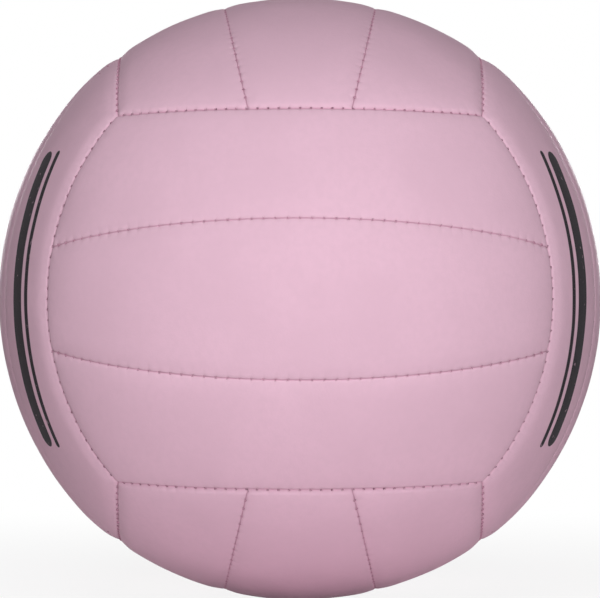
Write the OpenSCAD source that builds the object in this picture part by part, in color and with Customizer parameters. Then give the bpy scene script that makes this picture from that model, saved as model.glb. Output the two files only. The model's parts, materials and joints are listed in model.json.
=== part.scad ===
// Indoor volleyball, size 5, of eighteen stitched panels.
// Six faces of three strips each lie on the ball like the faces of a cube, and the strips of
// neighbouring faces run at right angles. +Z is up, +X is to the right and +Y is the back,
// where the valve is. The origin is the centre of the ball. All lengths are in millimetres.

/* [Ball] */
// Diameter, from the middle of one face to the middle of the opposite face
ball_d = 209; // [200:1:216]
// How far past the ball's centre each face's curve is struck from, which squares the ball a little
face_setback = 4.5; // [1:0.5:7]

/* [Panels] */
// How far the long side of a face bows in towards its middle, halfway between its corners
side_bow = 15.4; // [13:0.1:18]
// Width of a middle strip at its middle
strip_w = 52.5; // [46:0.5:58]
// Width of a middle strip where its ends are sewn
strip_end_w = 34.5; // [30:0.5:38]
// Thickness of the synthetic-leather skin
skin_t = 0.9; // [0.6:0.1:1.2]
// Thickness of the foam pad under the skin
foam_t = 3.5; // [2.5:0.1:5]
// Thickness of the glue line between the foam and its lining
glue_t = 0.1; // [0.05:0.05:0.2]
// Thickness of the cloth lining under the foam
lining_t = 0.5; // [0.3:0.1:0.8]

/* [Seams] */
// Distance from a seam to the top of a panel's rolled edge
shoulder_w = 3.4; // [2.8:0.1:4]
// Depth of the valley along a seam
valley_depth = 1.5; // [1.1:0.1:1.9]
// Gap between two turned-in edges
seam_gap = 0.2; // [0.1:0.05:0.3]
// Diameter of the sewing thread
thread_d = 0.6; // [0.4:0.05:0.8]
// Room between the thread and the rolled edges that it lies between
thread_gap = 0.05; // [0.02:0.01:0.1]
// Bare length between the end of a thread and the seam that crosses it
thread_end_gap = 1.2; // [1:0.1:2]

/* [Bladder] */
// Thickness of the rubber bladder
bladder_t = 0.6; // [0.5:0.1:1.2]
// Room between the bladder and the lining
bladder_gap = 0.2; // [0.1:0.05:0.4]

/* [Valve] */
// Diameter of the valve's stem and tube
stem_d = 9; // [8:0.5:11]
// Room around the stem in the panel and in the bladder
stem_gap = 0.2; // [0.1:0.05:0.4]
// How far the stem's mouth lies below the face of the ball
stem_recess = 0.5; // [0.3:0.1:0.8]
// Length of the valve's tube inside the bladder, past its flange
tube_len = 9; // [7:0.5:12]
// Diameter of the flange that is bonded inside the bladder
flange_d = 30; // [24:1:36]
// Thickness of the flange
flange_t = 1.4; // [1:0.1:2]
// Diameter of the cloth ring that stiffens the panel round the stem
patch_d = 34; // [28:1:38]
// Thickness of the cloth ring
patch_t = 0.6; // [0.4:0.1:1]
// Diameter of the self-sealing core
core_d = 5; // [4.6:0.1:5.4]
// Diameter of the bead that holds the core in the housing
bead_d = 6.4; // [6:0.1:7]
// Height of the bead
bead_h = 2.4; // [2:0.1:3]
// Depth from the stem's mouth to the bead
bead_depth = 5; // [4:0.5:7]
// Room around the core in the housing
core_gap = 0.05; // [0.03:0.01:0.1]
// How far the core stands past the inner end of the tube
core_tail = 3; // [2:0.5:5]
// Diameter of the hole that guides the inflating needle
needle_d = 2.4; // [2.2:0.1:2.6]
// Depth from the stem's mouth to the end of the needle hole
needle_depth = 8; // [6:0.5:10]
// Diameter of the lead-in at the mouth of the needle hole
lead_d = 4; // [3.2:0.1:4.4]
// Depth of the lead-in
lead_depth = 1.1; // [0.8:0.1:1.6]
// Width of the slit that shuts when the needle is drawn out
slit_w = 2; // [1.6:0.1:2.1]
// Opening of the slit
slit_t = 0.2; // [0.15:0.05:0.3]

/* [Hidden] */
MIDDLE = 0;
PLUS = 1;
MINUS = 2;
STRIPS = [MIDDLE, PLUS, MINUS];
// Each face's name, the turn that brings it from the top with its strips along X, and its strips
FACES = [
    ["front", [90, 0, 0], ["middle", "upper", "lower"]],
    ["back", [-90, 0, 0], ["middle", "lower", "upper"]],
    ["right", [180, -90, 0], ["middle", "front", "back"]],
    ["left", [0, -90, 0], ["middle", "back", "front"]],
    ["top", [0, 0, 90], ["middle", "left", "right"]],
    ["bottom", [180, 0, 90], ["middle", "right", "left"]],
];
VALVE_FACE = FACES[1];
LAYERS = ["cover", "foam", "lining"];
$fn = 120;

// Depths of the layers below a face
foam_depth = skin_t;
foam_back_depth = foam_depth + foam_t;
lining_depth = foam_back_depth + glue_t;
lining_back_depth = lining_depth + lining_t;
bladder_depth = lining_back_depth + bladder_gap;
bladder_back_depth = bladder_depth + bladder_t;

// A face is part of a sphere of this radius, struck from face_centre
face_r = ball_d / 2 + face_setback;
face_centre = [0, 0, -face_setback];
// How far a cutting shape runs past what it cuts
overrun = 2;
reach = face_r + face_setback + overrun;
// Where the cones of the seams are cut off, well inside the ball
cone_start_share = 0.2;
cone_start = reach * cone_start_share;

// The rolled edge of a panel is an arc that starts across the face and ends in the valley.
// It stands proud by a small share of the valley's depth, so that the two curves cross.
crossing_share = 0.017;
roll_rise = valley_depth * crossing_share;
roll_drop = valley_depth + roll_rise;
roll_r = (pow(shoulder_w, 2) + pow(roll_drop, 2)) / (2 * roll_drop);
roll_centre_r = face_r + roll_rise - roll_r;

// The seams of a face that looks along +Z with its strips along X. A seam between two faces lies on a
// cone whose point is the ball's centre, and a seam inside a face lies on a plane. What belongs to
// the end of a strip is given here as it stands when the face is turned to bring that end to +Y.
straight_side_angle = 45;
side_angle = straight_side_angle - arc_angle(side_bow, ball_d / 2);
side_dir = [0, sin(side_angle), cos(side_angle)];
side_point = face_point(side_dir, face_r);
corner_dir = unit([1, 1, 1]);
end_dir = [0, side_dir[2], side_dir[1]];
side_axis = ring_axis(corner_dir, side_dir, [0, 1, 0]);
end_axis = [0, side_axis[2], side_axis[1]];
cone_angle = acos(side_axis * corner_dir);
strip_point = middle_point(strip_w / 2);
strip_end_point = strip_corner(strip_end_w / 2);
strip_axis = ring_axis(strip_end_point, strip_point, [0, 1, 0]);
strip_height = strip_axis * (strip_point - face_centre);

// The end of a strip stands higher than its neighbour's long side at the middle of their seam. Its
// roll is longer there, so that both edges meet at the bottom of one valley.
end_drop = roll_drop + norm(face_point(end_dir, face_r)) - norm(side_point);
end_shoulder_w = sqrt(2 * roll_r * end_drop - pow(end_drop, 2));
// Centres of the rolls at a corner of the face and at the middle of a seam
side_corner_centre = roll_centre(corner_dir, side_axis, -shoulder_w);
side_middle_centre = roll_centre(side_dir, side_axis, -shoulder_w);
end_corner_centre = roll_centre(corner_dir, end_axis, shoulder_w);
end_middle_centre = roll_centre(end_dir, end_axis, end_shoulder_w);
side_roll_axis = ring_axis(side_corner_centre, side_middle_centre, [0, 1, 0]);
end_roll_axis = ring_axis(end_corner_centre, end_middle_centre, [0, 0, 1]);
// Angle of each ring of centres from its axis, at face_centre
side_roll_angle = acos(side_roll_axis * (side_middle_centre - face_centre) / roll_centre_r);
end_roll_angle = acos(end_roll_axis * (end_middle_centre - face_centre) / roll_centre_r);
inner_roll_angle = acos((strip_height - shoulder_w) / roll_centre_r);
outer_roll_angle = acos((strip_height + shoulder_w) / roll_centre_r);
roll_span = 2 * asin(end_shoulder_w / roll_centre_r);

// Arcs that the threads follow, each resting on the two rolled edges beside it
strip_thread_r = roll_centre_r * sin(inner_roll_angle) + thread_seat(shoulder_w);
strip_thread_half = asin(strip_end_point[0] / face_r) - arc_angle(thread_end_gap, face_r);
face_thread_corner = corner_dir * max(
    thread_distance(norm(side_corner_centre), shoulder_w),
    thread_distance(norm(end_corner_centre), shoulder_w)
);
face_thread_middle = side_dir * max(
    thread_distance(norm(side_middle_centre), shoulder_w),
    thread_distance(norm(end_middle_centre), end_shoulder_w)
);
face_thread_axis = ring_axis(face_thread_corner, face_thread_middle, [0, 1, 0]);
face_thread_run = flat(face_thread_corner - face_thread_middle);
face_thread_r = (pow(face_thread_corner[0], 2) / norm(face_thread_run) + norm(face_thread_run)) / 2;
face_thread_centre = face_thread_middle + unit(face_thread_run) * face_thread_r;
face_thread_half = asin(face_thread_corner[0] / face_thread_r)
    - arc_angle(thread_end_gap, face_thread_r);

// Heights along the valve's axis
stem_mouth = ball_d / 2 - stem_recess;
tube_end = ball_d / 2 - bladder_back_depth - flange_t - tube_len;
core_end = tube_end - core_tail;
needle_end = stem_mouth - needle_depth;
bead_top = stem_mouth - bead_depth;
bead_bottom = bead_top - bead_h;
bead_bevel_share = 0.25;
bead_bevel = bead_h * bead_bevel_share;

function panel_name(layer, face, strip) = str(layer, "_", face[0], "_", face[2][strip]);
function unit(v) = v / norm(v);
function flat(v) = [0, v[1], v[2]];
function arc_angle(length, r) = length / r * 180 / PI;
// Axis of the ring through a, b and a's mirror image across X, on the side of a given direction
function ring_axis(a, b, towards) = let (n = unit([0, a[2] - b[2], b[1] - a[1]]))
    n * sign(n * towards);
// Where a ray from the ball's centre meets a sphere of radius r about face_centre
function face_point(dir, r) = dir * (
    sqrt(pow(r, 2) - pow(face_setback, 2) * (1 - pow(dir[2], 2))) - face_setback * dir[2]
);
// A point of the face's middle line across its strips
function middle_point(y) = [0, y, sqrt(pow(face_r, 2) - pow(y, 2)) - face_setback];
// The point of the +X end of the face that lies y from its middle line
function strip_corner(y) = let (
    along = [side_axis[2], 0, side_axis[1]],
    across = [side_axis[1], 0, -side_axis[2]],
    swing = asin(y / (norm(face_point(end_dir, face_r)) * sin(cone_angle)))
) face_point(
    along * cos(cone_angle) + (across * cos(swing) + [0, 1, 0] * sin(swing)) * sin(cone_angle),
    face_r
);
// A direction turned towards an axis
function turned(dir, axis, angle) = dir * cos(angle) + unit(axis - dir * (axis * dir)) * sin(angle);
// Centre of a roll whose ring passes beside a seam, at a distance from it
function roll_centre(dir, axis, shoulder) = face_point(
    turned(dir, axis, asin(shoulder / norm(face_point(dir, roll_centre_r)))),
    roll_centre_r
);
// Height of a thread's middle above the centres of the rolls that it rests on
function thread_seat(shoulder) = sqrt(
    pow(roll_r + thread_d / 2 + thread_gap, 2) - pow(shoulder, 2)
);
// Distance of that thread's middle from the ball's centre, from that of the centre of one roll
function thread_distance(centre_r, shoulder) = sqrt(pow(centre_r, 2) - pow(shoulder, 2))
    + thread_seat(shoulder);
function polar(r, angle) = [r * sin(angle), r * cos(angle)];

module on_face(face) rotate(face[1]) children();

// Puts a strip of the +Y side at the side that it belongs to
module on_strip(face, strip) on_face(face) {
    if (strip == MINUS) mirror([0, 1, 0]) children();
    else children();
}

module both_sides() {
    children();
    mirror([0, 1, 0]) children();
}

// Turns +Z to an axis in the YZ plane
module about(axis) rotate([-atan2(axis[1], axis[2]), 0, 0]) children();

// Everything under a face, down to the centre, with its surface at a depth below the face
module under_face(depth) translate(face_centre) rotate([90, 0, 0]) sphere(face_r - depth);

// Inside of a seam's cone about an axis, with its wall moved in by a distance and without its point
module seam_cone(axis, inset) {
    translate(axis * inset / sin(cone_angle)) about(axis) translate([0, 0, cone_start]) cylinder(
        h = reach - cone_start,
        r1 = cone_start * tan(cone_angle),
        r2 = reach * tan(cone_angle)
    );
}

// Everything past the plane of the seam inside a face, on its +Y side or its -Y side
module past_strip_seam(inset) {
    translate(face_centre) about(strip_axis)
        translate([-reach, -reach, strip_height - inset]) cube([2 * reach, 2 * reach, reach]);
}
module before_strip_seam(inset) {
    translate(face_centre) about(strip_axis)
        translate([-reach, -reach, strip_height + inset - reach]) cube([2 * reach, 2 * reach, reach]);
}

// The space between the seams round a strip, with its walls moved in from them
module seam_space(strip, inset) {
    difference() {
        intersection() {
            rotate([0, 0, -90]) seam_cone(end_axis, inset);
            rotate([0, 0, 90]) seam_cone(end_axis, inset);
        }
        if (strip == MIDDLE) both_sides() past_strip_seam(inset);
        else {
            seam_cone(side_axis, -inset);
            before_strip_seam(inset);
        }
    }
}

// What lies outside the rolled edge along a ring, on the side of smaller or larger angles
module roll_waste(axis, angle, way, depth) {
    translate(face_centre) about(axis) rotate_extrude() difference() {
        polygon([
            polar(roll_centre_r, angle),
            polar(reach, angle),
            polar(reach, angle + way * roll_span),
            polar(roll_centre_r, angle + way * roll_span),
        ]);
        translate(polar(roll_centre_r, angle)) circle(roll_r - depth);
    }
}

// Cuts what lies outside a rolled edge from the children
module rolled(axis, angle, way, depth, turn) difference() {
    children();
    rotate([0, 0, turn]) roll_waste(axis, angle, way, depth);
}

// A strip's whole wedge of the ball, with all its outer surfaces moved in by a depth, first with
// square edges and then with rolled ones
module square_wedge(strip, depth) intersection() {
    under_face(depth);
    seam_space(strip, depth + seam_gap / 2);
}
module panel_wedge(strip, depth) {
    rolled(end_roll_axis, end_roll_angle, 1, depth, -90)
        rolled(end_roll_axis, end_roll_angle, 1, depth, 90)
            if (strip == MIDDLE)
                rolled(strip_axis, inner_roll_angle, -1, depth, 0)
                    rolled(strip_axis, inner_roll_angle, -1, depth, 180)
                        square_wedge(strip, depth);
            else
                rolled(side_roll_axis, side_roll_angle, -1, depth, 0)
                    rolled(strip_axis, outer_roll_angle, 1, depth, 0)
                        square_wedge(strip, depth);
}

module stem_hole() cylinder(h = reach, d = stem_d + 2 * stem_gap);

module cover(face, strip) {
    color("#dcb6ca") on_strip(face, strip) difference() {
        difference() {
            panel_wedge(strip, 0);
            under_face(foam_back_depth);
        }
        panel_wedge(strip, foam_depth);
        if (face == VALVE_FACE && strip == MIDDLE) stem_hole();
    }
}

module foam(face, strip) {
    color("#f3efe6") on_strip(face, strip) difference() {
        panel_wedge(strip, foam_depth);
        under_face(foam_back_depth);
        if (face == VALVE_FACE && strip == MIDDLE) {
            stem_hole();
            intersection() {
                cylinder(h = reach, d = patch_d + 2 * stem_gap);
                under_face(foam_back_depth - patch_t);
            }
        }
    }
}

module lining(face, strip) {
    color("#e9e4d6") on_strip(face, strip) difference() {
        intersection() {
            under_face(lining_depth);
            seam_space(strip, seam_gap / 2);
        }
        under_face(lining_back_depth);
        if (face == VALVE_FACE && strip == MIDDLE) stem_hole();
    }
}

// A length of thread along an arc that is centred over the middle of its seam
module thread(r, half) {
    rotate([0, 0, -90 - half]) rotate_extrude(angle = 2 * half)
        translate([r, 0]) circle(d = thread_d, $fn = 24);
}

module strip_seam_thread() {
    color("#bd8299") for (face = FACES) on_face(face) both_sides()
        translate(face_centre + strip_axis * strip_height)
            about(strip_axis) thread(strip_thread_r, strip_thread_half);
}

module face_seam_thread() {
    color("#bd8299") for (face = FACES) on_face(face) both_sides()
        translate(face_thread_centre) about(face_thread_axis) thread(face_thread_r, face_thread_half);
}

// The ball's inner form, at a depth below its faces
module inside_all_faces(depth) intersection_for(face = FACES) on_face(face) under_face(depth);

module bladder() {
    color("#3a3a3c") difference() {
        inside_all_faces(bladder_depth);
        inside_all_faces(bladder_back_depth);
        on_face(VALVE_FACE) stem_hole();
    }
}

module valve_patch() {
    color("#d8d2c0") on_face(VALVE_FACE) difference() {
        intersection() {
            cylinder(h = reach, d = patch_d);
            under_face(foam_back_depth - patch_t);
        }
        under_face(foam_back_depth);
        stem_hole();
    }
}

// Outline of the space that holds the core, with room round the core
function core_side(room, bottom, top) = [
    [core_d / 2 + room, bottom],
    [core_d / 2 + room, bead_bottom - room],
    [bead_d / 2 + room, bead_bottom + bead_bevel - room],
    [bead_d / 2 + room, bead_top - bead_bevel + room],
    [core_d / 2 + room, bead_top + room],
    [core_d / 2 + room, top],
];

module valve_housing() {
    color("#2f2f31") on_face(VALVE_FACE) difference() {
        union() {
            difference() {
                intersection() {
                    cylinder(h = reach, d = flange_d);
                    under_face(bladder_back_depth);
                }
                under_face(bladder_back_depth + flange_t);
            }
            translate([0, 0, tube_end]) cylinder(h = stem_mouth - tube_end, d = stem_d);
        }
        rotate_extrude() polygon(concat(
            [[0, tube_end - overrun]],
            core_side(core_gap, tube_end - overrun, stem_mouth + overrun),
            [[0, stem_mouth + overrun]]
        ));
    }
}

module valve_core() {
    color("#4a4a4d") on_face(VALVE_FACE) difference() {
        rotate_extrude() polygon(concat(
            [[0, core_end]],
            core_side(0, core_end, stem_mouth),
            [
                [lead_d / 2, stem_mouth],
                [needle_d / 2, stem_mouth - lead_depth],
                [needle_d / 2, needle_end],
                [0, needle_end],
            ]
        ));
        translate([-slit_w / 2, -slit_t / 2, core_end - overrun])
            cube([slit_w, slit_t, needle_end - core_end + 2 * overrun]);
    }
}

for (face = FACES, strip = STRIPS) {
    cover(face, strip);
    foam(face, strip);
    lining(face, strip);
}
strip_seam_thread();
face_seam_thread();
bladder();
valve_housing();
valve_core();
valve_patch();
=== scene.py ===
# Looks of a stitched indoor volleyball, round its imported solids.
# Lengths are in metres in the solids' own frame: +Z is up, +X to the right and +Y away from the camera.
import functools
import json
import math
import typing

import bpy
import numpy as np
from bpy.props import FloatProperty, FloatVectorProperty, PointerProperty
from mathutils import Euler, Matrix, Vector


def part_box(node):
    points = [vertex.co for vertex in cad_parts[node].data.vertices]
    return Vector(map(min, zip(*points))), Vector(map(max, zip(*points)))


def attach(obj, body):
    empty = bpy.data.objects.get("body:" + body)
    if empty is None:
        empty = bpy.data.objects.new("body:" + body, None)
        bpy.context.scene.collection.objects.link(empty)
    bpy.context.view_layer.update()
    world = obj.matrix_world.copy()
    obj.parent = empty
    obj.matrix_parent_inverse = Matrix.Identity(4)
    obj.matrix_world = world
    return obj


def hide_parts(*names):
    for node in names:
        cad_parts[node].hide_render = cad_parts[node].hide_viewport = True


bl_info = {
    "name": "Stitched ball",
    "version": (1, 0, 0),
    "blender": (4, 5, 0),
    "location": "View3D > Sidebar > Ball",
    "description": "Panels, stitches and finishes of a volleyball round its solids, and a stage for it",
    "category": "Object",
}

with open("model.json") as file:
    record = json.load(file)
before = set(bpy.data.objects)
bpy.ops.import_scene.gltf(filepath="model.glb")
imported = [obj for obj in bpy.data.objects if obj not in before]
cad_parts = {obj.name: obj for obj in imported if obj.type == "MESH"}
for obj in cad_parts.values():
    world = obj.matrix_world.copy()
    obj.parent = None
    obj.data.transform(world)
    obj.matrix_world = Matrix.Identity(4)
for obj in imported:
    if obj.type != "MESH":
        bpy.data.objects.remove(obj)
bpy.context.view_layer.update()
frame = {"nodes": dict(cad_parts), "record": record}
SOLID_DIAMETER = -2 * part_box("cover_front_middle")[0].y
MM = 0.001
BODY = "root"
SEED = 7
X, Y, Z = np.eye(3)

# Each face's turn from the top, in degrees, and its strips: the middle one, the one at +Y and the one at -Y
FACES = {
    "front": ((90, 0, 0), ("middle", "upper", "lower")),
    "back": ((-90, 0, 0), ("middle", "lower", "upper")),
    "right": ((180, -90, 0), ("middle", "front", "back")),
    "left": ((0, -90, 0), ("middle", "back", "front")),
    "top": ((0, 0, 90), ("middle", "left", "right")),
    "bottom": ((180, 0, 90), ("middle", "right", "left")),
}
MIDDLE, MINUS = 0, 2
VALVE_PANEL = "back_middle"
PRINTED_PANELS = ("right_front", "left_front")
# Faces whose edges fall more gently than those of the others, along their sides and at their strips' ends
SOFT_SIDES = ("left", "right", "top", "bottom")
SOFT_ENDS = ("left", "right")

# Spacing of a panel's grid, at its seams and away from them, and how fast it grows between
FINEST = 0.3 * MM
COARSEST = 0.64 * MM
GROWTH = 0.12
# Samples along a panel by which that spacing is added up
SPACING_SAMPLES = 5001
# Grid lines of a panel's outside to one of its inside
INNER_STEP = 6
# How far the rings round the valve's hole reach before the grid is square again, in radii of the hole
RINGED_REACH = 5
# The padded surface's slight waves: how many, and their shortest and longest length
WAVE_COUNT = 24
WAVE_LENGTHS = (14 * MM, 50 * MM)
# What a panel's points carry: stitches along the nearest long seam and end and place inside it, place along
# and across the panel, and how plainly those seams' stitches show
PANEL_MAPS = ("long_seam", "end_seam", "panel", "plain")
# 1 for each of those numbers that is a place inside a seam
INSIDE_PLACES = np.array([0, 1, 0, 1, 0, 0, 0, 0])
# How plainly the stitches inside a face show, which are drawn in deeper than those between faces
STRIP_PLAINNESS = 0.45
# Distance from the corner at the end of a seam to its last stitch, at least
STITCH_MARGIN = 1.6 * MM
# Points along a stitch and round it
STITCH_STEPS, STITCH_SIDES = 8, 6
# How much stitches differ: in lean, in reach and in height
LEAN_SPREAD, REACH_SPREAD, HEIGHT_SPREAD = 0.35, 0.08, 1
# In diameters of the thread: a stitch's rest above the leather that it pulls in, the sag of its middle, how
# far its ends dive into their holes, and how much deeper one lies that doesn't show at all
STITCH_LIFT, STITCH_SAG, STITCH_DIVE, STITCH_DRAW = 0.25, 0.2, 1.7, 0.5
# Share of a seam, to each side of a stitch, over which its direction there is taken
NUDGE = 0.001
# Half the length of the printed bars, and each bar's place across its strip and half its width
PRINT_HALF = 51.5 * MM
PRINTED_BARS = ((-2.6 * MM, 3.9 * MM), (5.2 * MM, 1.3 * MM))
# Where a needle hole, a dent with painted shade inside, fades, counted from its middle, and its depth
HOLE_FADE, HOLE_DEPTH = (0.26 * MM, 0.08 * MM), 0.3 * MM
# Half the width of the tuck at a stitch, where it fades, counted from the seam, and its depth
TUCK_HALF, TUCK_FADE, TUCK_DEPTH = 0.8 * MM, (4 * MM, 0.8 * MM), 0.04 * MM
# How far from a seam its painted shade reaches, and how strong it is
PAINTED_SHADE_REACH, PAINTED_SHADE_SHARE = 0.45 * MM, 0.35
# Where the edge of a printed bar fades, and how much the print stands out
INK_FADE, INK_HEIGHT = (0.12 * MM, -0.08 * MM), 0.02 * MM
# Share of the floor that shows as plain white, near the ball and far from it, and where it changes
FLOOR_GLOW = (0.86, 1.0)
FLOOR_FADE = (0.15, 0.55)
# Width of the camera's sensor in millimetres, and the nearest and farthest that it sees in metres
SENSOR, SEEN = 36, (0.05, 20)

# Each softbox's name, direction from the ball (to the right and up, in degrees), distance, width, height
# and strength. A strength of 1 lights a surface that faces it until it looks as bright as its own colour.
LAMPS = (
    ("front", 6, 0.5, 1.8, 0.9, 0.2, 0.54),
    ("top", -4, 47, 1.8, 1.0, 0.9, 0.39),
    ("rear_right", 168, 6, 1.8, 0.5, 0.3, 0.38),
    ("rear_left", 192, 6, 1.8, 0.5, 0.3, 0.38),
)


def linear(channel):
    """A screen's channel, from 0 to 1, as light."""
    return channel / 12.92 if channel <= 0.04045 else ((channel + 0.055) / 1.055) ** 2.4


def length(name, about, default):
    """A property that holds a length in metres."""
    return FloatProperty(name=name, description=about, default=default, min=0, precision=5,
                         subtype="DISTANCE", unit="LENGTH")


def colour(name, about, default):
    """A property that holds a colour, given as a screen's channels from 0 to 255."""
    return FloatVectorProperty(name=name, description=about, subtype="COLOR", min=0, max=1,
                               default=[linear(channel / 255) for channel in default])


class BallSizes(bpy.types.PropertyGroup):
    diameter: length("Diameter", "From the middle of a face to the opposite one", SOLID_DIAMETER)
    setback: length("Setback", "How far past the centre each face's curve is struck from", 4.5 * MM)
    side_bow: length("Side bow", "How far the long side of a face bows in", 15.4 * MM)
    strip_width: length("Strip width", "Width of a middle strip at its middle", 52.5 * MM)
    strip_end_width: length("Strip end width", "Width of a middle strip at its ends", 34.5 * MM)
    strip_valley: length("Strip valley", "Depth of a seam inside a face", 0.75 * MM)
    face_valley: length("Face valley", "Depth of a seam between faces", 1.45 * MM)
    strip_roll: length("Strip roll", "Radius of the rolled edges at a seam inside a face", 2.6 * MM)
    side_roll: length("Side roll", "Radius of the rolled edge along a face's side", 1.6 * MM)
    end_roll: length("End roll", "Radius of the rolled edge at a strip's end", 2.2 * MM)
    strip_fall: length("Strip fall", "Part of a seam's depth that falls gently, inside a face", 0.42 * MM)
    side_fall: length("Side fall", "The same along a face's side", 0.3 * MM)
    end_fall: length("End fall", "The same at a strip's end", 0.4 * MM)
    softer_fall: length("Softer fall", "The same at the edges that are softer", 0.8 * MM)
    soft_reach: length("Soft reach", "How far from a seam the gentle fall reaches", 3.3 * MM)
    settle_reach: length("Settle reach", "How far from its end a strip settles to the next face", 9 * MM)
    gap: length("Gap", "Gap between two turned-in edges", 0.05 * MM)
    skin: length("Skin", "Thickness of the leather", 0.9 * MM)
    tray: length("Tray", "Depth of the turned-in edges below the face", 4.4 * MM)
    stem_hole: length("Stem hole", "Diameter of the hole for the valve's stem", 9.4 * MM)
    unevenness: length("Unevenness", "Height of the slight waves of the padded surface", 0.045 * MM)
    strip_pitch: length("Strip pitch", "Distance between two stitches of a seam inside a face", 3.95 * MM)
    face_pitch: length("Face pitch", "Distance between two stitches of a seam between faces", 3.52 * MM)
    pinch: length("Pinch", "How far a stitch pulls the leather in", 0.2 * MM)
    pinch_reach: length("Pinch reach", "How far from a seam a stitch pulls", 1.3 * MM)
    stitch_reach: length("Stitch reach", "From a seam to the needle holes beside it", 0.33 * MM)
    stitch_slant: length("Stitch slant", "How far a stitch leans along its seam, on each side", 0.24 * MM)
    thread: length("Thread", "Diameter of the sewing thread", 0.3 * MM)


class BallColours(bpy.types.PropertyGroup):
    leather: colour("Leather", "The panels' leather", (229, 189, 208))
    # The leather's colour deep in a seam is painted shade
    painted_seam_shade: colour("Crease", "Leather deep in a seam", (194, 136, 161))
    # Painted shade inside a needle hole
    hole: colour("Hole", "Inside of a needle hole", (134, 80, 104))
    thread: colour("Thread", "Sewing thread", (192, 136, 161))
    print: colour("Print", "Printed bars on the side panels", (48, 43, 48))
    foam: colour("Foam", "Foam pads", (236, 230, 216))
    cloth: colour("Cloth", "Lining and the ring round the valve", (226, 220, 204))
    rubber: colour("Rubber", "Bladder", (40, 39, 42))
    valve: colour("Valve", "Valve's housing and core", (52, 50, 53))
    floor: colour("Floor", "Floor and backdrop", (243, 242, 241))


def unit(vectors):
    """Vectors at length 1."""
    return vectors / np.linalg.norm(vectors, axis=-1, keepdims=True)


def flipped(directions, axis):
    """Directions mirrored across the middle of the ball along an axis."""
    return directions * (1 - 2 * axis)


def turned(angles):
    """The matrix of a turn about X, Y and Z in degrees."""
    return np.array(Euler([math.radians(angle) for angle in angles]).to_matrix())


def ring_axis(a, b):
    """Axis, towards +Y, of the ring through a, b and a's mirror image across X."""
    normal = unit(np.array([0, a[2] - b[2], b[1] - a[1]]))
    return normal * np.sign(normal[1])


class Edge(typing.NamedTuple):
    """A panel's edge at a seam: how deep the seam is, the rolled edge's radius, how much of the depth falls
    gently, and how plainly its stitches show, from 0 to 1."""
    valley: float
    roll: float
    soft: float
    plain: float = 1.0


class Seam(typing.NamedTuple):
    """A seam of a strip as directions see it: how far inside it each is, how many stitches along it, to the
    right of one who faces the seam, how much lower the next face is, and the strip's edge."""
    inside: np.ndarray
    along: np.ndarray
    step: np.ndarray
    edge: Edge


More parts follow.
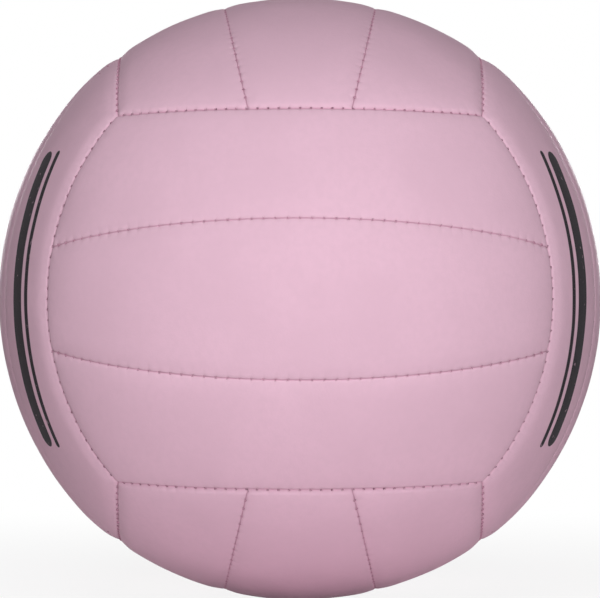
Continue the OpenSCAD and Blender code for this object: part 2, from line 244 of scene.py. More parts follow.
class Form:
    """The ball's faces, seams and rolled edges, with the edges of one face.

    A direction is a unit vector from the ball's centre, in the frame of a face that looks along +Z with
    its strips along X. A face is part of a sphere that is struck from past the centre. A seam inside a
    face lies on a plane, and a seam between two faces on a cone whose point is the ball's centre.
    """

    # Share of the valley's depth by which a rolled edge stands proud, so that its arc crosses the face
    RISE_SHARE = 0.017
    # Share of a strip end's height above the next face that it loses gently, before its rolled edge
    SETTLED_SHARE = 0.8

    def __init__(self, sizes, face=None):
        self.sizes = sizes
        self.radius = sizes.diameter / 2
        self.face_radius = self.radius + sizes.setback
        self.centre = -sizes.setback * Z
        side_angle = math.pi / 4 - sizes.side_bow / self.radius
        side = np.array([0, math.sin(side_angle), math.cos(side_angle)])
        corner = unit(np.ones(3))
        self.side_axis = ring_axis(corner, side)
        self.side_start = np.array([0, -self.side_axis[2], self.side_axis[1]])
        self.end_axis = self.side_axis[[2, 0, 1]]
        self.end_start = np.array([self.side_axis[1], 0, -self.side_axis[2]])
        self.cone_angle = math.acos(self.side_axis @ corner)
        self.corner_swing = math.asin(corner[1] / math.sin(self.cone_angle))
        self.cone_ring = self.radius * math.sin(self.cone_angle)
        end_distance = self.distance(side[[2, 0, 1]])
        self.strip_swing = math.asin(sizes.strip_end_width / 2 / end_distance / math.sin(self.cone_angle))
        end_point = self.end_curve(self.strip_swing)
        end_point = end_point * self.distance(end_point)
        half_width = sizes.strip_width / 2
        height = math.sqrt(self.face_radius ** 2 - half_width ** 2)
        middle_point = half_width * Y + height * Z + self.centre
        self.strip_axis = ring_axis(end_point, middle_point)
        self.strip_up = np.array([0, -self.strip_axis[2], self.strip_axis[1]])
        self.strip_height = self.strip_axis @ (middle_point - self.centre)
        self.strip_ring = math.sqrt(self.face_radius ** 2 - self.strip_height ** 2)
        self.strip_half = math.asin(end_point[0] / self.strip_ring)
        self.strip_edge = Edge(sizes.strip_valley, sizes.strip_roll, sizes.strip_fall, STRIP_PLAINNESS)
        self.side_edge = Edge(sizes.face_valley, sizes.side_roll,
                              sizes.softer_fall if face in SOFT_SIDES else sizes.side_fall)
        self.end_edge = Edge(sizes.face_valley, sizes.end_roll,
                             sizes.softer_fall if face in SOFT_ENDS else sizes.end_fall)

    def distance(self, directions, axis=Z, depth=0.0):
        """How far from the ball's centre the face along an axis is, less a depth: the far root of the
        sphere's equation along each direction."""
        cosine = np.abs(directions @ axis)
        reach = (self.face_radius - depth) ** 2 - self.sizes.setback ** 2 * (1 - cosine ** 2)
        return np.sqrt(reach) - self.sizes.setback * cosine

    def strip_curve(self, share):
        """The seam inside the face at +Y: a ring about strip_axis, from share -1 to 1 of its length."""
        angle = np.asarray(share)[..., None] * self.strip_half
        ring = self.strip_up * np.cos(angle) + X * np.sin(angle)
        return unit(self.centre + self.strip_axis * self.strip_height + ring * self.strip_ring)

    def side_curve(self, share):
        """The seam at the face's +Y side: a ring on the cone about side_axis, from share -1 to 1."""
        angle = np.asarray(share)[..., None] * self.corner_swing
        ring = self.side_start * np.cos(angle) + X * np.sin(angle)
        return self.side_axis * math.cos(self.cone_angle) + ring * math.sin(self.cone_angle)

    def end_curve(self, swing):
        """The seam at the face's +X end: a ring on the cone about end_axis, at an angle from its middle."""
        angle = np.asarray(swing)[..., None]
        ring = self.end_start * np.cos(angle) + Y * np.sin(angle)
        return self.end_axis * math.cos(self.cone_angle) + ring * math.sin(self.cone_angle)

    def borders(self, strip):
        """A strip's long seams, low and high in Y, as curves over -1 to 1, and the swings of its end."""
        if strip == MIDDLE:
            return (lambda share: flipped(self.strip_curve(share), Y)), self.strip_curve, (
                -self.strip_swing, self.strip_swing)
        return self.strip_curve, self.side_curve, (self.strip_swing, self.corner_swing)

    def directions(self, strip, u, v):
        """Directions over a strip, u from 0 to 1 along it and v across it: the blend of its four seams,
        which is the sum of the two ruled surfaces between opposite seams less the one of its corners."""
        low, high, (start, stop) = self.borders(strip)
        right = self.end_curve(start + (stop - start) * v)
        corners = [self.end_curve(start), self.end_curve(stop)]
        u, v = u[..., None], v[..., None]
        along = (1 - v) * low(2 * u[..., 0] - 1) + v * high(2 * u[..., 0] - 1)
        across = (1 - u) * flipped(right, X) + u * right
        square = (1 - v) * ((1 - u) * flipped(corners[0], X) + u * corners[0])
        square = square + v * ((1 - u) * flipped(corners[1], X) + u * corners[1])
        return unit(along + across - square)

    def spans(self, strip):
        """Length and width that a strip would have at the scale of its grid's middle."""
        step = 0.01
        near = np.array([0.5 - step, 0.5 + step])
        middle = np.full(2, 0.5)
        along = self.directions(strip, near, middle)
        across = self.directions(strip, middle, near)
        return [self.radius * np.linalg.norm(d[1] - d[0]) / (2 * step) for d in (along, across)]

    def inset(self, strip, u, v, room):
        """Moves a strip's grid in from its seams by some room, as a share of its length and width."""
        low, high, (start, stop) = self.borders(strip)
        end = self.end_curve(start + (stop - start) * v)
        length_here = 2 * self.radius * np.arcsin(end[..., 0])
        width_here = self.radius * np.linalg.norm(high(2 * u - 1) - low(2 * u - 1), axis=-1)
        return u + (1 - 2 * u) * room / length_here, v + (1 - 2 * v) * room / width_here

    def strip_seam(self, d):
        """How far past the seam inside the face at +Y each direction is, how many stitches along it towards
        +X, and how much lower the strip beyond it is there: not at all."""
        point = d * self.distance(d)[..., None] - self.centre
        past = point @ self.strip_axis - self.strip_height
        along = np.arctan2(point[..., 0], point @ self.strip_up) * self.strip_ring / self.sizes.strip_pitch
        return past, along, np.zeros(past.shape)

    def cone_seam(self, d, axis, start, across, neighbour):
        """The same for a seam on the cone about an axis, past which the inside of the cone and the
        neighbour, the face along another axis, lie."""
        past = (self.cone_angle - np.arccos(d @ axis)) * self.radius
        along = np.arctan2(d @ across, d @ start) * self.cone_ring / self.sizes.face_pitch
        outward = unit(d - (d @ axis)[..., None] * axis)
        seam = axis * math.cos(self.cone_angle) + outward * math.sin(self.cone_angle)
        own, other = self.distance(seam), self.distance(seam, neighbour)
        return past, along, own - np.minimum(own, other)

    def seams(self, strip, d):
        """The seams round a strip, two long ones and two ends, as some directions see them."""
        past, along, step = self.strip_seam(d)
        if strip == MIDDLE:
            low_past, low_along, low_step = self.strip_seam(flipped(d, Y))
            long_seams = [Seam(-low_past, -low_along, low_step, self.strip_edge),
                          Seam(-past, along, step, self.strip_edge)]
        else:
            side_past, side_along, side_step = self.cone_seam(d, self.side_axis, self.side_start, X, Y)
            long_seams = [Seam(past, -along, step, self.strip_edge),
                          Seam(-side_past, side_along, side_step, self.side_edge)]
        (left_past, left_along, left_step), right = (
            self.cone_seam(way, self.end_axis, self.end_start, -Y, X) for way in (flipped(d, X), d))
        return long_seams, [Seam(left_past, -left_along, left_step, self.end_edge),
                            Seam(*right, self.end_edge)]

    def fall(self, inside, edge, step=0.0):
        """Depth below the face at a distance inside a seam: an arc of the roll's radius, and on it a gentle
        fall that fades as a bell curve. At the seam the two make up the valley's depth, and the part of the
        step down to the next face that isn't settled before."""
        rise = self.RISE_SHARE * edge.valley
        arc_drop = edge.valley - edge.soft + rise + (1 - self.SETTLED_SHARE) * step
        shoulder = np.sqrt(2 * edge.roll * arc_drop - arc_drop ** 2)
        run = np.clip(shoulder - inside, 0, shoulder)
        arc = np.maximum(edge.roll - rise - np.sqrt(edge.roll ** 2 - run ** 2), 0)
        return arc + edge.soft * self.bell(inside, self.sizes.soft_reach)

    def settled(self, inside, step):
        """Depth that a strip loses gently towards its end, where the next face is lower by a step."""
        return self.SETTLED_SHARE * step * self.bell(inside, self.sizes.settle_reach)

    def bell(self, inside, reach):
        """1 at a seam, and fades as a bell curve over its reach."""
        return np.exp(-(np.maximum(inside, 0) / reach) ** 2)

    def pinch(self, inside, along):
        """Depth by which the stitches pull the leather in: a squared cosine along the seam whose crests are
        at the stitches, which fades as a bell curve across it."""
        wave = np.cos(math.pi * along) ** 2
        return self.sizes.pinch * wave * np.exp(-(inside / self.sizes.pinch_reach) ** 2)


# The lip round the valve's hole
LIP = Edge(valley=0.4 * MM, roll=1.4 * MM, soft=0.3 * MM)


def waves(directions, radius, height):
    """Slight unevenness of a padded surface: the sum of seeded plane waves of many lengths."""
    rng = np.random.default_rng(SEED)
    ways = unit(rng.normal(size=(WAVE_COUNT, 3)))
    wave = ways * (2 * math.pi / rng.uniform(*WAVE_LENGTHS, (WAVE_COUNT, 1)))
    phase = rng.uniform(0, 2 * math.pi, WAVE_COUNT)
    return height * np.sin(directions @ wave.T * radius + phase).sum(-1) / math.sqrt(WAVE_COUNT / 2)


def graded(size, marks, step):
    """Places from 0 to 1 along a size, closer near its marks. The spacing grows with the distance from the
    nearest mark, and a place is where the sum of its reciprocal reaches a whole number."""
    x = np.linspace(0, size, SPACING_SAMPLES)
    away = np.abs(x[:, None] - np.asarray(marks)).min(axis=1)
    density = 1 / np.minimum(FINEST + GROWTH * away, COARSEST)
    count = np.concatenate([[0], np.cumsum(density[1:]) * x[1]])
    lines = step * math.ceil(count[-1] / step)
    places = np.interp(np.linspace(0, count[-1], lines + 1), count, x)
    for mark in marks:
        places[np.abs(places - mark).argmin()] = mark
    return places / size


def ringed(u, v, spans, hole, reach):
    """Bends a grid's square lines round its middle into rings: a point's distance from the middle becomes
    its larger coordinate, wholly at the hole's edge and not at all past a reach."""
    x, y = (u - 0.5) * spans[0], (v - 0.5) * spans[1]
    square = np.maximum(np.abs(x), np.abs(y))
    share = np.clip((reach - square) / (reach - hole), 0, 1)
    share = share ** 2 * (3 - 2 * share)
    scale = 1 + share * (square / np.maximum(np.hypot(x, y), hole / 2) - 1)
    return 0.5 + x * scale / spans[0], 0.5 + y * scale / spans[1]


def rim(index, rows=(0, -1), columns=(0, -1)):
    """The points round a block of a grid, in order, from its first row towards its last column."""
    block = index[rows[0]: rows[1] + 1 or None, columns[0]: columns[1] + 1 or None]
    return np.concatenate([block[0, :-1], block[:-1, -1], block[-1, :0:-1], block[:0:-1, 0]])


class Shell:
    """A mesh as it is put together: points, what each carries for its finish, and faces."""

    def __init__(self):
        self.points, self.carried, self.faces, self.count = [], [], {3: [], 4: []}, 0

    def add(self, points, carried):
        """Takes an array of points and gives their numbers, in the same shape."""
        index = np.arange(points[..., 0].size).reshape(points.shape[:-1]) + self.count
        self.count += index.size
        self.points.append(points.reshape(-1, 3))
        carried = np.broadcast_to(carried, (*index.shape, carried.shape[-1]))
        self.carried.append(carried.reshape(index.size, -1))
        return index

    def face(self, *corners):
        """Adds faces whose corners are given as arrays of point numbers."""
        self.faces[len(corners)].append(np.stack([c.ravel() for c in corners], axis=1))

    def grid(self, index, keep=None):
        """Fills a grid with four-sided faces, except where keep is false."""
        corners = [index[:-1, :-1], index[:-1, 1:], index[1:, 1:], index[1:, :-1]]
        self.face(*(c if keep is None else c[keep] for c in corners))

    def band(self, upper, lower):
        """Joins two rims that have as many points."""
        self.face(upper, lower, np.roll(lower, -1), np.roll(upper, -1))

    def zipped(self, fine, coarse):
        """Joins a rim to one that has a whole share of its points, with a fan to each coarse point."""
        step = len(fine) // len(coarse)
        half = (step + 1) // 2
        here, after = coarse, np.roll(coarse, -1)
        first, second = fine.reshape(-1, step), np.roll(fine, -1).reshape(-1, step)
        for k in range(step):
            self.face(second[:, k], first[:, k], here if k < half else after)
        self.face(after, second[:, half - 1], here)

    def object(self, name, maps, turn=None, mirrored=False):
        """Makes the object. Each map names the two carried numbers that are its UV coordinates."""
        points = np.concatenate(self.points)
        if mirrored:
            points = flipped(points, Y)
        if turn is not None:
            points = points @ turn.T
        faces = [np.concatenate(f) for f in self.faces.values() if f]
        if mirrored:
            faces = [f[:, ::-1] for f in faces]
        sizes = np.concatenate([np.full(len(f), f.shape[1]) for f in faces])
        corners = np.concatenate([f.ravel() for f in faces])
        mesh = bpy.data.meshes.new(name)
        mesh.vertices.add(len(points))
        mesh.vertices.foreach_set("co", points.astype(np.float32).ravel())
        mesh.loops.add(len(corners))
        mesh.loops.foreach_set("vertex_index", corners.astype(np.int32))
        mesh.polygons.add(len(sizes))
        mesh.polygons.foreach_set("loop_start", (np.cumsum(sizes) - sizes).astype(np.int32))
        carried = np.concatenate(self.carried).astype(np.float32)
        for place, map_name in enumerate(maps):
            layer = mesh.uv_layers.new(name=map_name)
            layer.data.foreach_set("uv", carried[corners, 2 * place: 2 * place + 2].ravel())
        mesh.update(calc_edges=True)
        mesh.validate()
        mesh.shade_smooth()
        made = bpy.data.objects.new(name, mesh)
        bpy.context.scene.collection.objects.link(made)
        return made


def panel(form, face, strip):
    """A panel's cover: a grid over its outside, which falls into its seams, turned-in edges down to the
    tray's rim, and a coarser grid over its inside. Its falls towards the seams add up as the fourth root
    of the sum of their fourth powers. The valve's panel has a hole with a rounded lip."""
    turn_angles, names = FACES[face]
    name = f"{face}_{names[strip]}"
    sizes = form.sizes
    turn = turned(turn_angles)
    mirrored = strip == MINUS
    side = -1 if mirrored else 1
    hole = sizes.stem_hole / 2 if name == VALVE_PANEL else None
    step = INNER_STEP if hole is None else 1
    spans = form.spans(strip)
    marks = [[0, span] + ([span / 2 - hole, span / 2 + hole] if hole else []) for span in spans]
    lines = [graded(span, places, step) for span, places in zip(spans, marks)]
    strip_middle = 0.0
    if strip != MIDDLE:
        across = form.directions(strip, np.full(3, 0.5), np.array([0, 0.5, 1]))
        strip_middle = np.arctan2(across[1, 1], across[1, 2])
    strip_up = np.array([0, math.sin(strip_middle), math.cos(strip_middle)])
    strip_side = np.array([0, math.cos(strip_middle), -math.sin(strip_middle)])

    def sheet(every, room, below, worn):
        """A sheet of the panel: its points, and for each its place from the seams and on the face."""
        u, v = np.meshgrid(*(line[::every] for line in lines))
        if hole:
            u, v = ringed(u, v, spans, hole, RINGED_REACH * hole)
        u, v = form.inset(strip, u, v, room)
        d = form.directions(strip, u, v)
        long_seams, ends = form.seams(strip, d)
        falls = [form.fall(seam.inside, seam.edge, seam.step) for seam in long_seams + ends]
        depth = (np.array(falls) ** 4).sum(axis=0) ** 0.25
        depth = depth + sum(form.settled(seam.inside, seam.step) for seam in ends)
        if hole:
            depth = depth + form.fall(form.radius * np.arccos(np.minimum(d[..., 2], 1)) - hole, LIP)
        if worn:
            depth = depth + sum(form.pinch(seam.inside, seam.along) for seam in long_seams + ends)
            out = (flipped(d, Y) if mirrored else d) @ turn.T
            depth = depth - waves(out, form.radius, sizes.unevenness)
        points = d * (form.distance(d) - depth - below)[..., None]
        carried, plain = [], []
        for a, b in (long_seams, ends):
            nearer = a.inside < b.inside
            carried += [side * np.where(nearer, a.along, b.along), np.where(nearer, a.inside, b.inside)]
            plain.append(np.where(nearer, a.edge.plain, b.edge.plain))
        place = [form.radius * np.arctan2(d[..., 0], d @ strip_up), form.radius * np.arcsin(d @ strip_side)]
        return points, np.stack(carried + place + plain, axis=-1), d

    shell = Shell()
    outer_points, outer_carried, outer_d = sheet(1, sizes.gap / 2, 0.0, True)
    inner_points, inner_carried, inner_d = sheet(step, sizes.gap / 2 + sizes.skin, sizes.skin, False)
    outer, inner = shell.add(outer_points, outer_carried), shell.add(inner_points, inner_carried)
    keep = None
    if hole:
        block = [[int(np.abs(line * span - place).argmin()) for place in places[2:]]
                 for line, span, places in zip(lines, spans, marks)]
        (left, right), (low, high) = block
        keep = np.ones(np.array(outer.shape) - 1, bool)
        keep[low:high, left:right] = False
        shell.band(*(rim(index, (low, high), (left, right)) for index in (inner, outer)))
    shell.grid(outer, keep)
    shell.grid(inner[:, ::-1], None if keep is None else keep[:, ::-1])
    rims = []
    for index, d, carried in ((outer, outer_d, outer_carried), (inner, inner_d, inner_carried)):
        edge = rim(np.arange(index.size).reshape(index.shape))
        edge_d = d.reshape(-1, 3)[edge]
        below = carried.reshape(-1, len(INSIDE_PLACES))[edge] - sizes.tray * INSIDE_PLACES
        rims.append(shell.add(edge_d * form.distance(edge_d, depth=sizes.tray)[:, None], below))
    shell.band(rim(outer), rims[0])
    shell.zipped(*rims)
    shell.band(rims[1], rim(inner))
    return shell.object("panel_" + name, PANEL_MAPS, turn, mirrored)


def thread(form, name, curve, half, pitch, neighbour, edge):
    """The stitches of one kind of seam on all faces. Each is a tube along a path that leaves one panel,
    crosses the seam with a slight lean and sag, and dives into the other: its height falls by the eighth
    power of the distance from the seam."""
    sizes = form.sizes
    count = math.floor((half - STITCH_MARGIN) / pitch)
    share = np.arange(-count, count + 1) * pitch / half
    seams = []
    for turn_angles, _ in FACES.values():
        turn = turned(turn_angles)
        for mirror in (1, -1):
            d, before, after = (curve(share + nudge) * [1, mirror, 1] for nudge in (0, -NUDGE, NUDGE))
            low = np.minimum(form.distance(d), form.distance(d, neighbour)) - edge.valley
            tangent = unit(after - before)
            seams.append([v @ turn.T for v in (d, tangent, np.cross(d, tangent))] + [low])
    d, tangent, across, low = (np.concatenate(parts) for parts in zip(*seams))

    rng = np.random.default_rng(SEED + len(share))

    def vary(spread):
        return 1 + rng.uniform(-spread, spread, (len(d), 1))

    q = np.linspace(-1, 1, STITCH_STEPS)
    lean = -sizes.stitch_slant * vary(LEAN_SPREAD) * q
    reach = sizes.stitch_reach * vary(REACH_SPREAD) * np.sin(q * math.pi / 2)
    beside = form.fall(np.array([0, sizes.stitch_reach]), edge)
    rest = beside[0] - beside[1] - sizes.pinch + sizes.thread * STITCH_LIFT * (1 + vary(HEIGHT_SPREAD))
    drop = STITCH_SAG * (1 - q ** 2) + STITCH_DIVE * q ** 8 + STITCH_DRAW * (1 - edge.plain)
    height = rest - sizes.thread * drop
    path = np.stack([lean, reach, height], axis=-1)
    forward = unit(np.gradient(path, axis=1))
    side = unit(X - forward * forward[..., :1])
    up = np.cross(forward, side)
    angle = np.linspace(0, 2 * math.pi, STITCH_SIDES, endpoint=False)[:, None]
    ring = side[:, :, None] * np.cos(angle) + up[:, :, None] * np.sin(angle)
    local = path[:, :, None] + ring * sizes.thread / 2
    points = (d[:, None, None] * (low[:, None, None, None] + local[..., 2:])
              + tangent[:, None, None] * local[..., :1] + across[:, None, None] * local[..., 1:2])
    wound = np.broadcast_arrays(q[:, None] * sizes.stitch_reach, angle.T * sizes.thread / 2)

    shell = Shell()
    index = shell.add(points, np.stack(wound, axis=-1))
    around = np.roll(index, -1, axis=2)
    shell.face(index[:, :-1], around[:, :-1], around[:, 1:], index[:, 1:])
    for k in range(1, STITCH_SIDES - 1):
        shell.face(index[:, 0, 0], index[:, 0, k + 1], index[:, 0, k])
        shell.face(index[:, -1, 0], index[:, -1, k], index[:, -1, k + 1])
    return shell.object(name, ("thread",))


class Value:
    """A number that varies over a surface. Arithmetic on it adds the nodes that work it out."""

    def __init__(self, nodes, socket):
        self.nodes, self.socket = nodes, socket

    def maths(self, operation, *others):
        """A Math node's result on this value and others."""
        return self.nodes.maths(operation, self, *others)

    def __add__(self, other):
        return self.maths("ADD", other)

    def __sub__(self, other):
        return self.maths("SUBTRACT", other)

    def __rsub__(self, other):
        return self.nodes.maths("SUBTRACT", other, self)

    def __mul__(self, other):
        return self.maths("MULTIPLY", other)

    def __truediv__(self, other):
        return self.maths("DIVIDE", other)

    def __abs__(self):
        return self.maths("ABSOLUTE")

    __radd__, __rmul__ = __add__, __mul__

    def within(self, low, high):
        """Rises smoothly from 0 at low to 1 at high, or falls where high comes first."""
        rising = high > low
        sockets = {"Value": self, "From Min": min(low, high), "From Max": max(low, high),
                   "To Min": 1 - rising, "To Max": rising}
        made = self.nodes.node("MapRange", {"interpolation_type": "SMOOTHSTEP"}, sockets)
        return Value(self.nodes, made.outputs["Result"])

    def across(self, other):
        """Length of the diagonal over this and another."""
        return (self * self + other * other).maths("SQRT")


def largest(values):
    """The largest of some values, place by place."""
    return functools.reduce(lambda one, other: one.maths("MAXIMUM", other), values)


class Nodes:
    """Makes the nodes of a material or of the world."""

    def __init__(self, tree):
        self.tree = tree
        tree.nodes.clear()

    def node(self, kind, settings=None, sockets=None):
        """A node of a kind, with its settings and then the values or links of its sockets."""
        made = self.tree.nodes.new("ShaderNode" + kind)
        for setting, value in (settings or {}).items():
            setattr(made, setting, value)
        for name, value in (sockets or {}).items():
            socket = made.inputs[name]
            if isinstance(value, (Value, bpy.types.NodeSocket)):
                self.tree.links.new(getattr(value, "socket", value), socket)
            elif socket.type == "RGBA":
                socket.default_value = (*value[:3], 1)
            else:
                socket.default_value = value
        return made

    def maths(self, operation, *values):
        """A Math node's result on values and numbers."""
        made = self.node("Math", {"operation": operation}, dict(enumerate(values)))
        return Value(self, made.outputs[0])

    def place(self):
        """Place in the object, in metres."""
        return self.node("TexCoord").outputs["Object"]

    def parts(self, vector):
        """The three numbers of a vector."""
        made = self.node("SeparateXYZ", None, {"Vector": vector})
        return [Value(self, socket) for socket in made.outputs]

    def carried(self, name):
        """The two numbers of one of the piece's own maps."""
        return self.parts(self.node("UVMap", {"uv_map": name}).outputs["UV"])[:2]

    def noise(self, vector, size, detail=2.0):
        """Cloudy noise whose features are about a size across."""
        made = self.node("TexNoise", None, {"Vector": vector, "Scale": 1 / size, "Detail": detail})
        return Value(self, made.outputs["Fac"])

    def cells(self, vector, size):
        """Distance from the middles of rounded cells of a size, as a share of it."""
        sockets = {"Vector": vector, "Scale": 1 / size, "Smoothness": 0.35}
        made = self.node("TexVoronoi", {"feature": "SMOOTH_F1"}, sockets)
        return Value(self, made.outputs["Distance"])

    def mix(self, share, low, high):
        """A colour between two others. The Mix node's colours are its sockets 6 and 7, and 2 comes out."""
        made = self.node("Mix", {"data_type": "RGBA"}, {0: share, 6: low, 7: high})
        return made.outputs[2]

    def finish(self, colour, roughness, height, **fixed):
        """The surface itself. Height is in metres, and what is fixed is the same all over."""
        bump = self.node("Bump", None, {"Height": height, "Distance": 1.0})
        sockets = {"Base Color": colour, "Roughness": roughness, "Normal": bump.outputs["Normal"]}
        for name, value in fixed.items():
            sockets[name.replace("_", " ").title().replace("Ior", "IOR")] = value
        shader = self.node("BsdfPrincipled", None, sockets)
        self.node("OutputMaterial", None, {"Surface": shader.outputs["BSDF"]})


def material(name, recipe, *arguments):
    """A material that a recipe fills with nodes."""
    made = bpy.data.materials.new(name)
    made.use_nodes = True
    recipe(Nodes(made.node_tree), *arguments)
    return made


def shade(rgb, share):
    """A colour made darker or lighter by a share of its light."""
    return [min(channel * share, 1) for channel in rgb]


def leather(nodes, colours, sizes, printed):
    """Grained soft leather with needle holes, small tucks at each stitch and, on the printed panels, two
    plain bars. Shade deep in its seams and inside its needle holes is painted into its colour."""
    place = nodes.place()
    grain = nodes.cells(place, 0.8 * MM)
    pores = nodes.noise(place, 0.3 * MM)
    cloud = nodes.noise(place, 34 * MM, 3)
    fleck = nodes.noise(place, 2.4 * MM, 3)
    base = nodes.mix(cloud.within(0.35, 0.65), shade(colours.leather, 0.975), shade(colours.leather, 1.02))
    base = nodes.mix(fleck.within(0.3, 0.75) * 0.5, base, shade(colours.leather, 0.96))
    height = (0.5 - grain) * 0.02 * MM + pores * 0.012 * MM
    roughness = 0.5 + fleck * 0.1 + grain * 0.08

    tightness = nodes.noise(place, 7 * MM, 0).within(0.3, 0.7)
    holes, painted_seam_shades = [], []
    for seam, plain in zip(("long_seam", "end_seam"), nodes.carried("plain")):
        along, inside = nodes.carried(seam)
        off = ((along + 0.5).maths("FRACT") - 0.5) * sizes.face_pitch
        from_hole = (off + sizes.stitch_slant).across(inside - sizes.stitch_reach)
        holes.append(from_hole.within(*HOLE_FADE) * plain)
        painted_seam_shades.append(inside.within(PAINTED_SHADE_REACH, 0))
        tuck = abs(off).within(TUCK_HALF, 0) * inside.within(*TUCK_FADE)
        height = height - tuck * TUCK_DEPTH - holes[-1] * HOLE_DEPTH
    # Painted shade deep in the seams
    base = nodes.mix(largest(painted_seam_shades) * PAINTED_SHADE_SHARE, base, colours.painted_seam_shade)
    # Painted shade inside the needle holes, at random strength along the seams
    base = nodes.mix(largest(holes) * tightness, base, colours.hole)

    if printed:
        along, across = nodes.carried("panel")
        bars = []
        for middle, half_width in PRINTED_BARS:
            past = (abs(along) - (PRINT_HALF - half_width)).maths("MAXIMUM", 0)
            bars.append((past.across(across - middle) - half_width).within(*INK_FADE))
        ink = largest(bars) * (1 - fleck.within(0.66, 0.74) * 0.35)
        base = nodes.mix(ink, base, colours.print)
        height = height + ink * INK_HEIGHT
        roughness = roughness - ink * 0.12
    nodes.finish(base, roughness, height, specular_ior_level=0.02)


def cotton(nodes, colours):
    """Twisted thread: two plies that wind round it, with painted shade in the grooves between them."""
    along, around = nodes.carried("thread")
    ply = (along / (0.35 * MM) + around / (0.25 * MM)).maths("SINE")
    fibre = nodes.noise(nodes.place(), 0.12 * MM, 3)
    # The grooves between the plies are darkened: painted shade
    base = nodes.mix(ply.within(-1, 0.6), shade(colours.thread, 0.6), colours.thread)
    nodes.finish(base, 0.6 + fibre * 0.2, ply * 0.03 * MM + fibre * 0.02 * MM, sheen_weight=0.2)


def foam(nodes, colours):
    """Fine open-celled foam, with painted shade where its surface dips, away from the middles of its cells.
    """
    place = nodes.place()
    cells = nodes.cells(place, 0.7 * MM)
    cloud = nodes.noise(place, 12 * MM, 3)
    # Darker where the surface dips: painted shade
    base = nodes.mix(cells.within(0.2, 0.8), shade(colours.foam, 1.03), shade(colours.foam, 0.72))
    base = nodes.mix(cloud * 0.25, base, shade(colours.foam, 0.85))
    nodes.finish(base, 0.85 + cells * 0.1, cells * -0.15 * MM)


def woven(nodes, colours):
    """Plain-woven cloth: threads that pass over and under each other along the three axes, with painted
    shade where they dip under.
    """
    place = nodes.place()
    turns = 2 * math.pi / (0.9 * MM)
    x, y, z = ((part * turns).maths("SINE") for part in nodes.parts(place))
    weave = x * y + y * z + z * x
    fibre = nodes.noise(place, 0.2 * MM, 3)
    # Darker where the weave dips: painted shade
    base = nodes.mix(weave.within(-1, 1), shade(colours.cloth, 0.78), colours.cloth)
    nodes.finish(base, 0.8 + fibre * 0.15, weave * 0.04 * MM + fibre * 0.03 * MM, sheen_weight=0.3)


def rubber(nodes, tone, powder):
    """Moulded rubber with a fine texture and a bloom of powder."""
    place = nodes.place()
    skin = nodes.noise(place, 0.5 * MM, 4)
    bloom = nodes.noise(place, 18 * MM, 4).within(0.35, 0.75)
    base = nodes.mix(bloom * powder, tone, [channel + 0.12 for channel in tone])
    nodes.finish(base, 0.5 + bloom * 0.2, skin * 0.03 * MM, specular_ior_level=0.4)


def moulded(nodes, tone):
    """The valve's rubber, with rings of the mould round the needle hole."""
    x, _, z = nodes.parts(nodes.place())
    ring = (x.across(z) * (2 * math.pi / (0.9 * MM))).maths("SINE")
    skin = nodes.noise(nodes.place(), 0.25 * MM, 3)
    base = nodes.mix(skin.within(0.3, 0.7), shade(tone, 0.85), shade(tone, 1.2))
    nodes.finish(base, 0.45 + skin * 0.2, ring * 0.02 * MM + skin * 0.02 * MM)


def pale(nodes, tone):
    """The stage's floor: to the camera it is nearly white with the ball's shadow, and plain white far off,
    where it meets the backdrop."""
    x, y, _ = nodes.parts(nodes.place())
    near, far = FLOOR_GLOW
    glow = x.across(y).within(*FLOOR_FADE) * (far - near) + near
    grain = nodes.noise(nodes.place(), 30 * MM, 4)
    base = nodes.mix(grain, shade(tone, 0.98), tone)
    matt = nodes.node("BsdfDiffuse", None, {"Color": base, "Roughness": 0.5})
    white = nodes.node("Emission", None, {"Color": (1, 1, 1), "Strength": 1.0})
    sockets = {0: seen_directly(nodes) * glow, 1: matt.outputs[0], 2: white.outputs[0]}
    both = nodes.node("MixShader", None, sockets)
    nodes.node("OutputMaterial", None, {"Surface": both.outputs[0]})


def seen_directly(nodes):
    """1 where the camera sees something itself, in a reflection or through glass."""
    path = nodes.node("LightPath")
    rays = [Value(nodes, path.outputs[f"Is {ray} Ray"]) for ray in ("Camera", "Glossy", "Transmission")]
    return largest(rays)


def dress(node, made):
    """Gives a solid a material in all its slots."""
    for slot in frame["nodes"][node].material_slots:
        slot.material = made


def scene_form(face=None):
    """The ball's form with the scene's sizes, as one face has it."""
    return Form(bpy.context.scene.ball_sizes, face)


class BALL_OT_panels(bpy.types.Operator):
    """Make the eighteen leather panels"""
    bl_idname = "ball.panels"
    bl_label = "Panels"

    def execute(self, context):
        sizes, colours = context.scene.ball_sizes, context.scene.ball_colours
        plain = material("leather", leather, colours, sizes, False)
        printed = material("leather_printed", leather, colours, sizes, True)
        for face, (_, names) in FACES.items():
            form = scene_form(face)
            for strip, strip_name in enumerate(names):
                name = f"{face}_{strip_name}"
                piece = panel(form, face, strip)
                piece.data.materials.append(printed if name in PRINTED_PANELS else plain)
                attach(piece, BODY)
                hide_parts("cover_" + name)
        return {"FINISHED"}


class BALL_OT_stitches(bpy.types.Operator):
    """Make the stitches of all seams"""
    bl_idname = "ball.stitches"
    bl_label = "Stitches"

    def execute(self, context):
        form = scene_form()
        cloth = material("thread", cotton, context.scene.ball_colours)
        strip_half, face_half = form.strip_half * form.strip_ring, form.corner_swing * form.cone_ring
        kinds = (
            ("strip_stitches", "strip_seam_thread",
             form.strip_curve, strip_half, form.sizes.strip_pitch, Z, form.strip_edge),
            ("face_stitches", "face_seam_thread",
             form.side_curve, face_half, form.sizes.face_pitch, Y, form.side_edge),
        )
        for name, node, *settings in kinds:
            piece = thread(form, name, *settings)
            piece.data.materials.append(cloth)
            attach(piece, BODY)
            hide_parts(node)
        return {"FINISHED"}


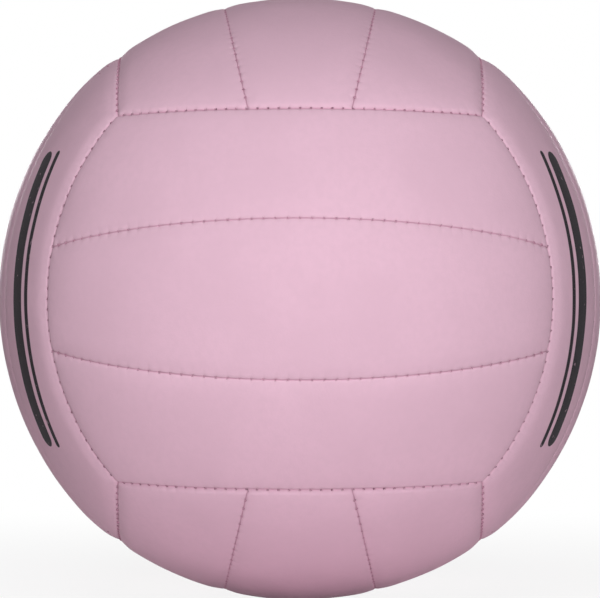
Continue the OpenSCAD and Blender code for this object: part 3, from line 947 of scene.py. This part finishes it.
class BALL_OT_inside(bpy.types.Operator):
    """Finish the foam pads, the lining, the bladder and the valve"""
    bl_idname = "ball.inside"
    bl_label = "Pads, lining, bladder and valve"

    def execute(self, context):
        colours = context.scene.ball_colours
        finishes = {
            "foam": material("foam", foam, colours),
            "lining": material("woven_lining", woven, colours),
            "bladder": material("bladder_rubber", rubber, list(colours.rubber), 0.5),
            "valve_housing": material("housing_rubber", moulded, list(colours.valve)),
            "valve_core": material("core_rubber", moulded, shade(colours.valve, 1.5)),
        }
        for part in frame["record"]["subparts"]:
            if part["material_slot"] in finishes:
                dress(part["node"], finishes[part["material_slot"]])
        return {"FINISHED"}


class StageSettings(bpy.types.PropertyGroup):
    distance: length("Camera distance", "From the ball's centre to the camera", 1.267)
    lens: FloatProperty(name="Lens", description="Focal length in millimetres", default=218, min=1)
    ambient: FloatProperty(name="Ambient", description="Light from all round", default=0.015, min=0)
    floor_radius: length("Floor radius", "Radius of the round floor", 3.0)


class BALL_OT_stage(bpy.types.Operator):
    """Make the floor, the lamps, the world and the camera"""
    bl_idname = "ball.stage"
    bl_label = "Stage"

    def execute(self, context):
        scene, stage = context.scene, context.scene.ball_stage
        floor(stage.floor_radius, -context.scene.ball_sizes.diameter / 2, context.scene.ball_colours.floor)
        for lamp in LAMPS:
            softbox(*lamp)
        scene.world = bpy.data.worlds.new("studio")
        scene.world.use_nodes = True
        nodes = Nodes(scene.world.node_tree)
        white = nodes.node("Background", None, {"Color": (1, 1, 1), "Strength": 1.0})
        dim = nodes.node("Background", None, {"Color": (1, 1, 1), "Strength": stage.ambient})
        sockets = {0: seen_directly(nodes), 1: dim.outputs[0], 2: white.outputs[0]}
        nodes.node("OutputWorld", None, {"Surface": nodes.node("MixShader", None, sockets).outputs[0]})

        lens = bpy.data.cameras.new("camera")
        lens.lens, lens.sensor_width = stage.lens, SENSOR
        lens.clip_start, lens.clip_end = SEEN
        camera = bpy.data.objects.new("camera", lens)
        camera.location = (0, -stage.distance, 0)
        camera.rotation_euler = (math.pi / 2, 0, 0)
        scene.collection.objects.link(camera)
        scene.camera = camera
        scene.view_settings.view_transform = "Standard"
        return {"FINISHED"}


def softbox(name, azimuth, elevation, away, width, height, strength):
    """A lamp that faces the ball."""
    lamp = bpy.data.lights.new(name, "AREA")
    lamp.shape, lamp.size, lamp.size_y = "RECTANGLE", width, height
    lamp.energy = strength * (math.pi * away) ** 2
    holder = bpy.data.objects.new(name, lamp)
    turn, lift = math.radians(azimuth), math.radians(elevation)
    towards = Vector((math.sin(turn) * math.cos(lift), -math.cos(turn) * math.cos(lift), math.sin(lift)))
    holder.location = towards * away
    holder.rotation_euler = towards.to_track_quat("Z", "Y").to_euler()
    holder.visible_camera = False
    bpy.context.scene.collection.objects.link(holder)


def floor(radius, height, tone):
    """A round floor under the ball: rings of points whose radius grows by the square."""
    rings, sectors = 24, 96
    angle = np.linspace(0, 2 * math.pi, sectors, endpoint=False)
    away = radius * (np.arange(1, rings + 1)[:, None] / rings) ** 2
    level = np.full((rings, sectors), height)
    points = np.stack([away * np.cos(angle), away * np.sin(angle), level], axis=-1)
    shell = Shell()
    index = shell.add(points, points[..., :2])
    middle = shell.add(np.array([[0, 0, height]]), np.zeros((1, 2)))
    after = np.roll(index, -1, axis=1)
    shell.face(index[:-1], index[1:], after[1:], after[:-1])
    shell.face(np.repeat(middle, sectors), index[0], after[0])
    made = shell.object("floor", ("floor",))
    made.data.materials.append(material("floor", pale, tone))


OPERATORS = (BALL_OT_panels, BALL_OT_stitches, BALL_OT_inside, BALL_OT_stage)


class BALL_PT_sidebar(bpy.types.Panel):
    """Lists the ball's sizes, colours and stage, and the pieces to make"""
    bl_label = "Stitched ball"
    bl_idname = "BALL_PT_sidebar"
    bl_space_type = "VIEW_3D"
    bl_region_type = "UI"
    bl_category = "Ball"

    def draw(self, context):
        for group in GROUPS:
            settings = getattr(context.scene, group)
            for name in settings.__annotations__:
                self.layout.prop(settings, name)
        for operator in OPERATORS:
            self.layout.operator(operator.bl_idname)


GROUPS = {"ball_sizes": BallSizes, "ball_colours": BallColours, "ball_stage": StageSettings}
CLASSES = (*GROUPS.values(), *OPERATORS, BALL_PT_sidebar)


def register():
    for made in CLASSES:
        bpy.utils.register_class(made)
    for name, group in GROUPS.items():
        setattr(bpy.types.Scene, name, PointerProperty(type=group))


def unregister():
    for name in GROUPS:
        delattr(bpy.types.Scene, name)
    for made in reversed(CLASSES):
        bpy.utils.unregister_class(made)


def main():
    """Makes every group of pieces in order."""
    register()
    for operator in OPERATORS:
        getattr(bpy.ops.ball, operator.bl_idname.split(".")[1])()


if __name__ == "__main__":
    main()
